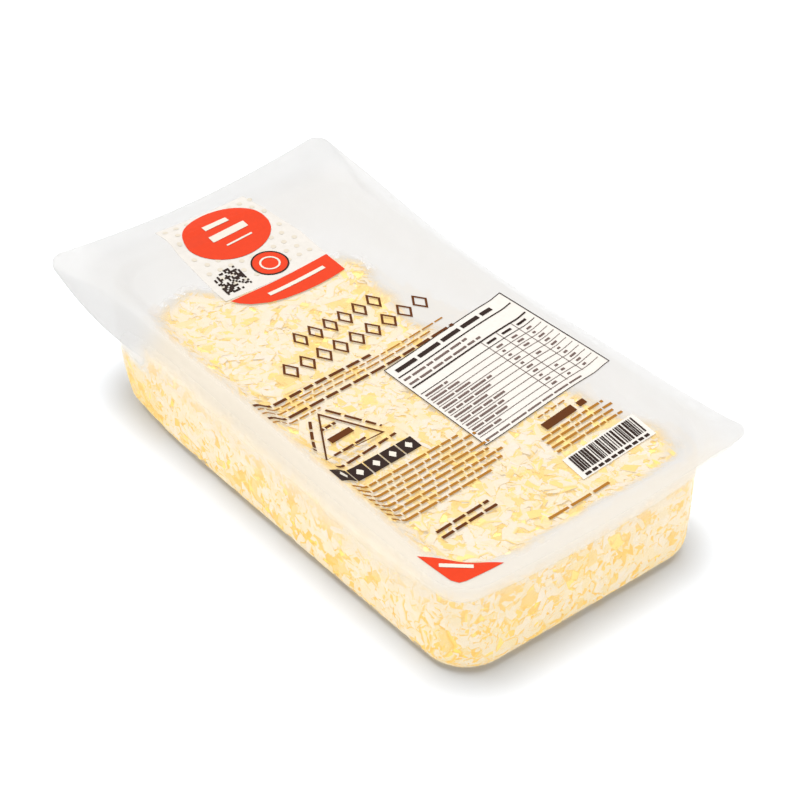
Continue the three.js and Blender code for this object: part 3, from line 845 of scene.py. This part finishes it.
class Ink:
    """Flat shapes of one colour, draped on the film and closed to a thin skin."""

    def __init__(self, name, colour, lift):
        self.name, self.lift, self.v, self.f = name, lift, [], []
        self.mat = ink_material(name, colour)

    def tris(self, pts, tris):
        edges = {}
        for a, b, c in tris:
            for e in ((a, b), (b, c), (c, a)):
                edges[e] = edges.get(e, 0) + 1
        n, base = len(pts), len(self.v)
        up = [on_film(x, y + CY, self.lift + 0.03) for x, y in pts]
        lo = [on_film(x, y + CY, self.lift) for x, y in pts]
        self.v += up + lo
        for a, b, c in tris:
            self.f.append((base + a, base + b, base + c))
            self.f.append((base + n + a, base + n + c, base + n + b))
        for (a, b) in edges:
            if (b, a) not in edges:
                self.f.append((base + b, base + a, base + n + a))
                self.f.append((base + b, base + n + a, base + n + b))

    def shape(self, loops, step=2.5):
        """Area between an outer loop and any inner loops, each a list of points."""
        verts, edges = [], []
        for loop in loops:
            start = len(verts)
            dense = []
            for i, a in enumerate(loop):
                b = loop[(i + 1) % len(loop)]
                m = max(1, int(math.dist(a, b) / step))
                dense += [(lerp(a[0], b[0], k / m), lerp(a[1], b[1], k / m)) for k in range(m)]
            verts += dense
            edges += [(start + i, start + (i + 1) % len(dense)) for i in range(len(dense))]
        xs, ys = [p[0] for p in loops[0]], [p[1] for p in loops[0]]
        gx, gy = np.arange(min(xs) + step, max(xs), step), np.arange(min(ys) + step, max(ys), step)
        boundary = np.array(verts)
        for px in gx:
            for py in gy:
                if np.min(np.hypot(boundary[:, 0] - px, boundary[:, 1] - py)) > step * 0.45:
                    verts.append((px + 1e-3 * py, py))
        out = delaunay_2d_cdt([Vector(p) for p in verts], edges, [], 3 if len(loops) > 1 else 1, 1e-5)
        pts = [(p.x, p.y) for p in out[0]]
        tris = []
        for f in out[2]:
            c = np.mean([pts[i] for i in f], 0)
            if not inside(c, loops[0]) or any(inside(c, l) for l in loops[1:]):
                continue
            for k in range(1, len(f) - 1):
                a, b, d = f[0], f[k], f[k + 1]
                area = ((pts[b][0] - pts[a][0]) * (pts[d][1] - pts[a][1]) - (pts[b][1] - pts[a][1]) * (pts[d][0] - pts[a][0]))
                tris.append((a, b, d) if area > 0 else (a, d, b))
        used = sorted({i for t in tris for i in t})
        back = {u: i for i, u in enumerate(used)}
        self.tris([pts[i] for i in used], [tuple(back[i] for i in t) for t in tris])

    def bar(self, a, b, width, step=2.0):
        """A straight bar from a to b."""
        dx, dy = b[0] - a[0], b[1] - a[1]
        d = math.hypot(dx, dy)
        if d < 0.05:
            return
        nx, ny = -dy / d * width / 2, dx / d * width / 2
        m = max(1, int(math.ceil(d / step)))
        pts, tris = [], []
        for k in range(m + 1):
            x, y = lerp(a[0], b[0], k / m), lerp(a[1], b[1], k / m)
            pts += [(x - nx, y - ny), (x + nx, y + ny)]
        for k in range(m):
            i = 2 * k
            tris += [(i, i + 2, i + 3), (i, i + 3, i + 1)]
        self.tris(pts, tris)

    def words(self, a, b, width, word=(2.5, 8), gap=1.1, r=None):
        """A line of dashes, as long and as heavy as a line of small type."""
        r = r or rng
        d = math.dist(a, b)
        at = 0.0
        while at < d - 0.6:
            w = min(r.uniform(*word), d - at)
            self.bar((lerp(a[0], b[0], at / d), lerp(a[1], b[1], at / d)),
                     (lerp(a[0], b[0], (at + w) / d), lerp(a[1], b[1], (at + w) / d)), width)
            at += w + gap

    def ring(self, outer, inner):
        """Closed outline between two loops of as many points."""
        n = len(outer)
        tris = []
        for i in range(n):
            j = (i + 1) % n
            tris += [(i, j, n + j), (i, n + j, n + i)]
        self.tris(list(outer) + list(inner), tris)

    def make(self):
        ob = numpy_mesh(self.name, np.array(self.v), [np.array(self.f)], smooth_shade=False)
        ob.data.materials.append(self.mat)
        return ob


def inside(p, loop):
    x, y = p
    hit = False
    for i, a in enumerate(loop):
        b = loop[(i + 1) % len(loop)]
        if (a[1] > y) != (b[1] > y) and x < (b[0] - a[0]) * (y - a[1]) / (b[1] - a[1]) + a[0]:
            hit = not hit
    return hit


def ellipse(cx, cy, rx, ry, n=40, turn=0.0):
    return [(cx + rx * math.cos(a) * math.cos(turn) - ry * math.sin(a) * math.sin(turn),
             cy + rx * math.cos(a) * math.sin(turn) + ry * math.sin(a) * math.cos(turn))
            for a in np.linspace(0, 2 * math.pi, n, endpoint=False)]


white = Ink("print_white", srgb(238, 232, 224), 0.06)
panel = Ink("print_panel", srgb(230, 224, 216), 0.06)
pale = Ink("print_pale", srgb(224, 214, 197), 0.15)
red = Ink("print_red", srgb(230, 66, 30), 0.25)
brown = Ink("print_brown", srgb(98, 50, 8), 0.30)
tan = Ink("print_tan", srgb(174, 116, 38), 0.30)
dark = Ink("print_dark", srgb(50, 34, 28), 0.30)
soft = Ink("print_soft", srgb(118, 98, 92), 0.30)
cream = Ink("print_cream", srgb(236, 228, 214), 0.40)

# label panel
panel.shape([[(-25, 121), (19, 122), (24, 88.5), (23.2, 69), (-27, 68.2)]])
for k in range(9):
    y = 118 - k * 5.2
    for x in np.arange(-22 + (k % 2) * 2.6, 22, 5.2):
        if y > 72 + 2:
            pale.shape([ellipse(x, y, 1.15, 1.15, 10)], 2)
red.shape([ellipse(-1.4, 104.2, 19.2, 15.6, 52, 0.05)])
cream.bar((-8.8, 110.0), (3.4, 111.0), 2.6)
cream.bar((-9.6, 103.6), (8.4, 105.1), 3.4)
cream.bar((-6.0, 97.6), (7.0, 98.7), 0.9)
red.shape([ellipse(1.8, 79.0, 7.1, 7.1, 34)])
dark.ring(ellipse(1.8, 79.0, 7.8, 7.8, 38), ellipse(1.8, 79.0, 7.1, 7.1, 38))
cream.ring(ellipse(1.8, 79.0, 4.3, 4.3, 28), ellipse(1.8, 79.0, 3.5, 3.5, 28))
# block of small squares
qr = np.random.default_rng(7)
A, B, C = np.array([-22.7, 85.4]), np.array([-10.1, 86.2]), np.array([-23.8, 71.0])
for i in range(14):
    for j in range(14):
        if qr.random() < 0.5:
            o = A + (B - A) * (i / 14) + (C - A) * (j / 14)
            e1, e2 = (B - A) / 14, (C - A) / 14
            dark.tris([tuple(o), tuple(o + e2), tuple(o + e1 + e2), tuple(o + e1)], [(0, 1, 2), (0, 2, 3)])
# banner
low = [(22.3, 56.5), (15.8, 55.7), (8.2, 55.3), (0.6, 55.4), (-7.1, 56.0), (-14.0, 57.4), (-20.3, 60.4), (-23.8, 63.7)]
red.shape([[(-25.6, 66.9), (22.7, 69.4)] + low])
cream.bar((-11, 61.8), (16.8, 63.1), 2.0)

# rows of open diamonds
def diamonds(a, b, count, height, stroke):
    for k in range(count):
        t = (k + 0.5) / count
        cx, cy = lerp(a[0], b[0], t), lerp(a[1], b[1], t)
        rx, ry = 0.43 * math.dist(a, b) / count, height / 2
        s = stroke / 2 * math.hypot(rx, ry)
        brown.ring([(cx + rx, cy), (cx, cy + ry), (cx - rx, cy), (cx, cy - ry)],
                   [(cx + rx - s / ry * 2, cy), (cx, cy + ry - s / rx * 2), (cx - rx + s / ry * 2, cy), (cx, cy - ry + s / rx * 2)])


diamonds((-22.7, 30.2), (21.6, 33.0), 6, 10.6, 0.95)
diamonds((-37.8, 16.2), (35, 20.7), 9, 10.6, 0.95)
brown.words((-60, 2.9), (-4, 7.0), 1.5, (4, 9), 1.4)
for k, (y0, x1, w) in enumerate([(0.2, 31, 0.8), (-2.6, 22, 0.8)]):
    tan.words((-60, y0), (x1, y0 + (x1 + 60) * 0.075), w, (2, 7), 0.9)
brown.words((-60, -6.2), (31.5, 1.2), 1.4, (4, 9), 1.3)
tan.words((-60, -9.0), (-38, -7.3), 0.8, (2, 6), 0.9)

# nutrition table
T0, T1, T2, T3 = (-6.0, -3.8), (57.8, 4.4), (60.6, -53.6), (-4.8, -59.4)


def table(u, v):
    top = (lerp(T0[0], T1[0], u), lerp(T0[1], T1[1], u))
    bot = (lerp(T3[0], T2[0], u), lerp(T3[1], T2[1], u))
    return (lerp(top[0], bot[0], v), lerp(top[1], bot[1], v))


white.shape([[table(0, 0), table(0, 1), table(1, 1), table(1, 0)]])
for a, b in (((0, 0), (1, 0)), ((1, 0), (1, 1)), ((1, 1), (0, 1)), ((0, 1), (0, 0))):
    dark.bar(table(*a), table(*b), 0.35)
dark.words(table(0.05, 0.065), table(0.86, 0.065), 2.0, (9, 15), 1.6)
dark.bar(table(0.02, 0.125), table(0.98, 0.125), 0.55)
soft.words(table(0.03, 0.17), table(0.55, 0.17), 1.0, (3, 8), 1.0)
soft.words(table(0.03, 0.225), table(0.62, 0.225), 1.0, (3, 8), 1.0)
dark.bar(table(0.02, 0.265), table(0.98, 0.265), 0.7)
for k, u in enumerate((0.64, 0.77, 0.9)):
    dark.bar(table(u - 0.035, 0.31), table(u + 0.04, 0.31), 1.1)
dark.bar(table(0.02, 0.35), table(0.98, 0.35), 0.3)
for k in range(10):
    v = 0.385 + k * 0.0565
    soft.words(table(0.03, v), table(0.2 + 0.28 * qr.random(), v), 0.95, (3, 9), 0.9)
    for u in (0.64, 0.77, 0.9):
        if qr.random() < 0.86:
            soft.bar(table(u - 0.02, v), table(u - 0.02 + 0.05 * qr.uniform(0.4, 1), v), 0.95)
    soft.bar(table(0.02, v + 0.028), table(0.98, v + 0.028), 0.22)
soft.words(table(0.03, 0.965), table(0.8, 0.965), 0.7, (3, 8), 0.9)
for u in (0.585, 0.715, 0.845):
    soft.bar(table(u, 0.275), table(u, 0.93), 0.22)

# triangle mark, dark squares, small type
tri = [(-41, -9.3), (-57, -35.4), (-28, -32)]
cen = np.mean(tri, 0)
brown.ring(tri, [tuple(cen + (np.array(p) - cen) * 0.9) for p in tri])
brown.bar((-47, -24.6), (-36.5, -23.5), 3.0)
brown.words((-50.5, -31.8), (-34.5, -30.1), 1.1, (3, 6), 0.9)
brown.words((-46, -18.0), (-39, -17.3), 1.3, (1.5, 3), 0.7)
brown.words((-46.0, -11.6), (-56.4, -28.6), 1.2, (4, 6), 1.4)
brown.words((-37.6, -9.6), (-26.8, -28.5), 1.2, (4, 8), 1.4)
brown.words((-55, -38.6), (-25.5, -34.7), 1.2, (4, 9), 1.4)
for k in range(5):
    x0, x1 = -60 + k * 7.6, -60 + k * 7.6 + 7.0
    f = lambda x, lo: (x, (-48.6 + (x + 60) * 0.075) if lo else (-41.4 + (x + 60) * 0.06))
    dark.shape([[f(x0, 1), f(x1, 1), f(x1, 0), f(x0, 0)]])
    cx, cy = (x0 + x1) / 2, (f(x0, 1)[1] + f(x1, 0)[1]) / 2
    cream.shape([[(cx + 1.6, cy), (cx, cy + 2.0), (cx - 1.6, cy), (cx, cy - 2.0)]], 3)
for k in range(8):
    y0 = -50.9 - 3.05 * k
    x1 = (-9, -3, -7, -2, -5, -1, -4, -12)[k]
    tan.words((-58.5, y0 - 1.5), (x1, y0 - 1.5 + (x1 + 58.5) * 0.066), 1.15, (2, 8), 0.75)
# weight, small lines, barcode
brown.bar((17.4, -65.3), (33, -64.0), 3.6)
brown.bar((35, -63.9), (38.8, -63.6), 2.6)
tan.words((19, -60.3), (34, -59.2), 0.7, (2, 4), 0.8)
for k in range(4):
    tan.words((12.5, -69.6 - 2.7 * k), (44 + 2 * (k % 2), -67.4 - 2.7 * k), 1.1, (2, 7), 0.7)
B0, B1, B2, B3 = (11.1, -81.5), (48.3, -78.5), (47.1, -91.6), (10.0, -93.6)


def code(u, v):
    top = (lerp(B0[0], B1[0], u), lerp(B0[1], B1[1], u))
    bot = (lerp(B3[0], B2[0], u), lerp(B3[1], B2[1], u))
    return (lerp(top[0], bot[0], v), lerp(top[1], bot[1], v))


white.shape([[code(0, 0), code(0, 1), code(1, 1), code(1, 0)]])
u = 0.06
while u < 0.93:
    w = qr.choice([0.32, 0.45, 0.7, 1.0])
    dark.bar(code(u + w / 74, 0.08), code(u + w / 74, 0.76), w, 3)
    u += w / 37 + qr.choice([0.35, 0.5, 0.8]) / 37
dark.words(code(0.06, 0.9), code(0.93, 0.9), 1.2, (2, 3), 0.9)
tan.words((-13.5, -101.5), (15.7, -100.2), 1.2, (7, 11), 1.3)
brown.words((-48, -84.2), (-23.5, -82.2), 1.3, (5, 9), 1.0)
brown.words((-48.2, -87.4), (-22.5, -85.4), 1.3, (5, 9), 1.0)
# corner to open
red.shape([[(-63.6, -92.9), (-62.6, -108.5), (-61.2, -111.0), (-58.8, -111.6), (-43.2, -112.1)]])
cream.bar((-60.8, -100.5), (-52.2, -107.6), 1.7)

inks = [i.make() for i in (white, panel, pale, red, brown, tan, dark, soft, cream)]

# ---------------------------------------------------------------- the frame's bookkeeping
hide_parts("tray")
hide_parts("top_film")
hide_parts("cheese")
for ob in [tray, film, core] + pieces + inks:
    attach(ob, "root")

# ---------------------------------------------------------------- floor, light, camera
floor = numpy_mesh("floor", np.array([(-6000, -6000, -0.3), (6000, -6000, -0.3), (6000, 6000, -0.3), (-6000, 6000, -0.3)]),
                   [np.array([[0, 1, 2, 3]])], smooth_shade=False)
floor_mat, nt, p = material("pale_floor")
p.inputs["Base Color"].default_value = (0.50, 0.517, 0.54, 1)
p.inputs["Roughness"].default_value = 0.7
p.inputs["Specular IOR Level"].default_value = 0.1
floor.data.materials.append(floor_mat)

world = bpy.data.worlds.new("studio")
bpy.context.scene.world = world
world.use_nodes = True
world.node_tree.nodes["Background"].inputs["Color"].default_value = (1, 1, 1, 1)
world.node_tree.nodes["Background"].inputs["Strength"].default_value = 0.95

sun_data = bpy.data.lights.new("key", "SUN")
sun_data.energy = 7.1
sun_data.angle = math.radians(50)
sun = bpy.data.objects.new("key", sun_data)
bpy.context.scene.collection.objects.link(sun)
sun.rotation_euler = Vector((-0.05, 0.07, 1.0)).to_track_quat("Z", "Y").to_euler()

cam_data = bpy.data.cameras.new("camera")
cam = bpy.data.objects.new("camera", cam_data)
bpy.context.scene.collection.objects.link(cam)
cam.location = (-0.3450, -0.4366, 0.4298)
aim = Vector((0.0, -0.0065, 0.025))
cam.rotation_euler = (aim - Vector(cam.location)).to_track_quat("-Z", "Y").to_euler()
cam_data.sensor_width = 36
cam_data.lens = 81.0
cam_data.shift_x = 0.012
cam_data.shift_y = 0.01725
cam_data.clip_start = 0.01
bpy.context.scene.camera = cam
bpy.context.scene.view_settings.view_transform = "Standard"
bpy.context.scene.cycles.transparent_max_bounces = 14
bpy.context.scene.cycles.diffuse_bounces = 2
bpy.context.scene.cycles.glossy_bounces = 2

total = sum(len(o.data.polygons) for o in pieces)
print("shred faces", total, [len(o.data.polygons) for o in pieces], "ink", [len(o.data.polygons) for o in inks])
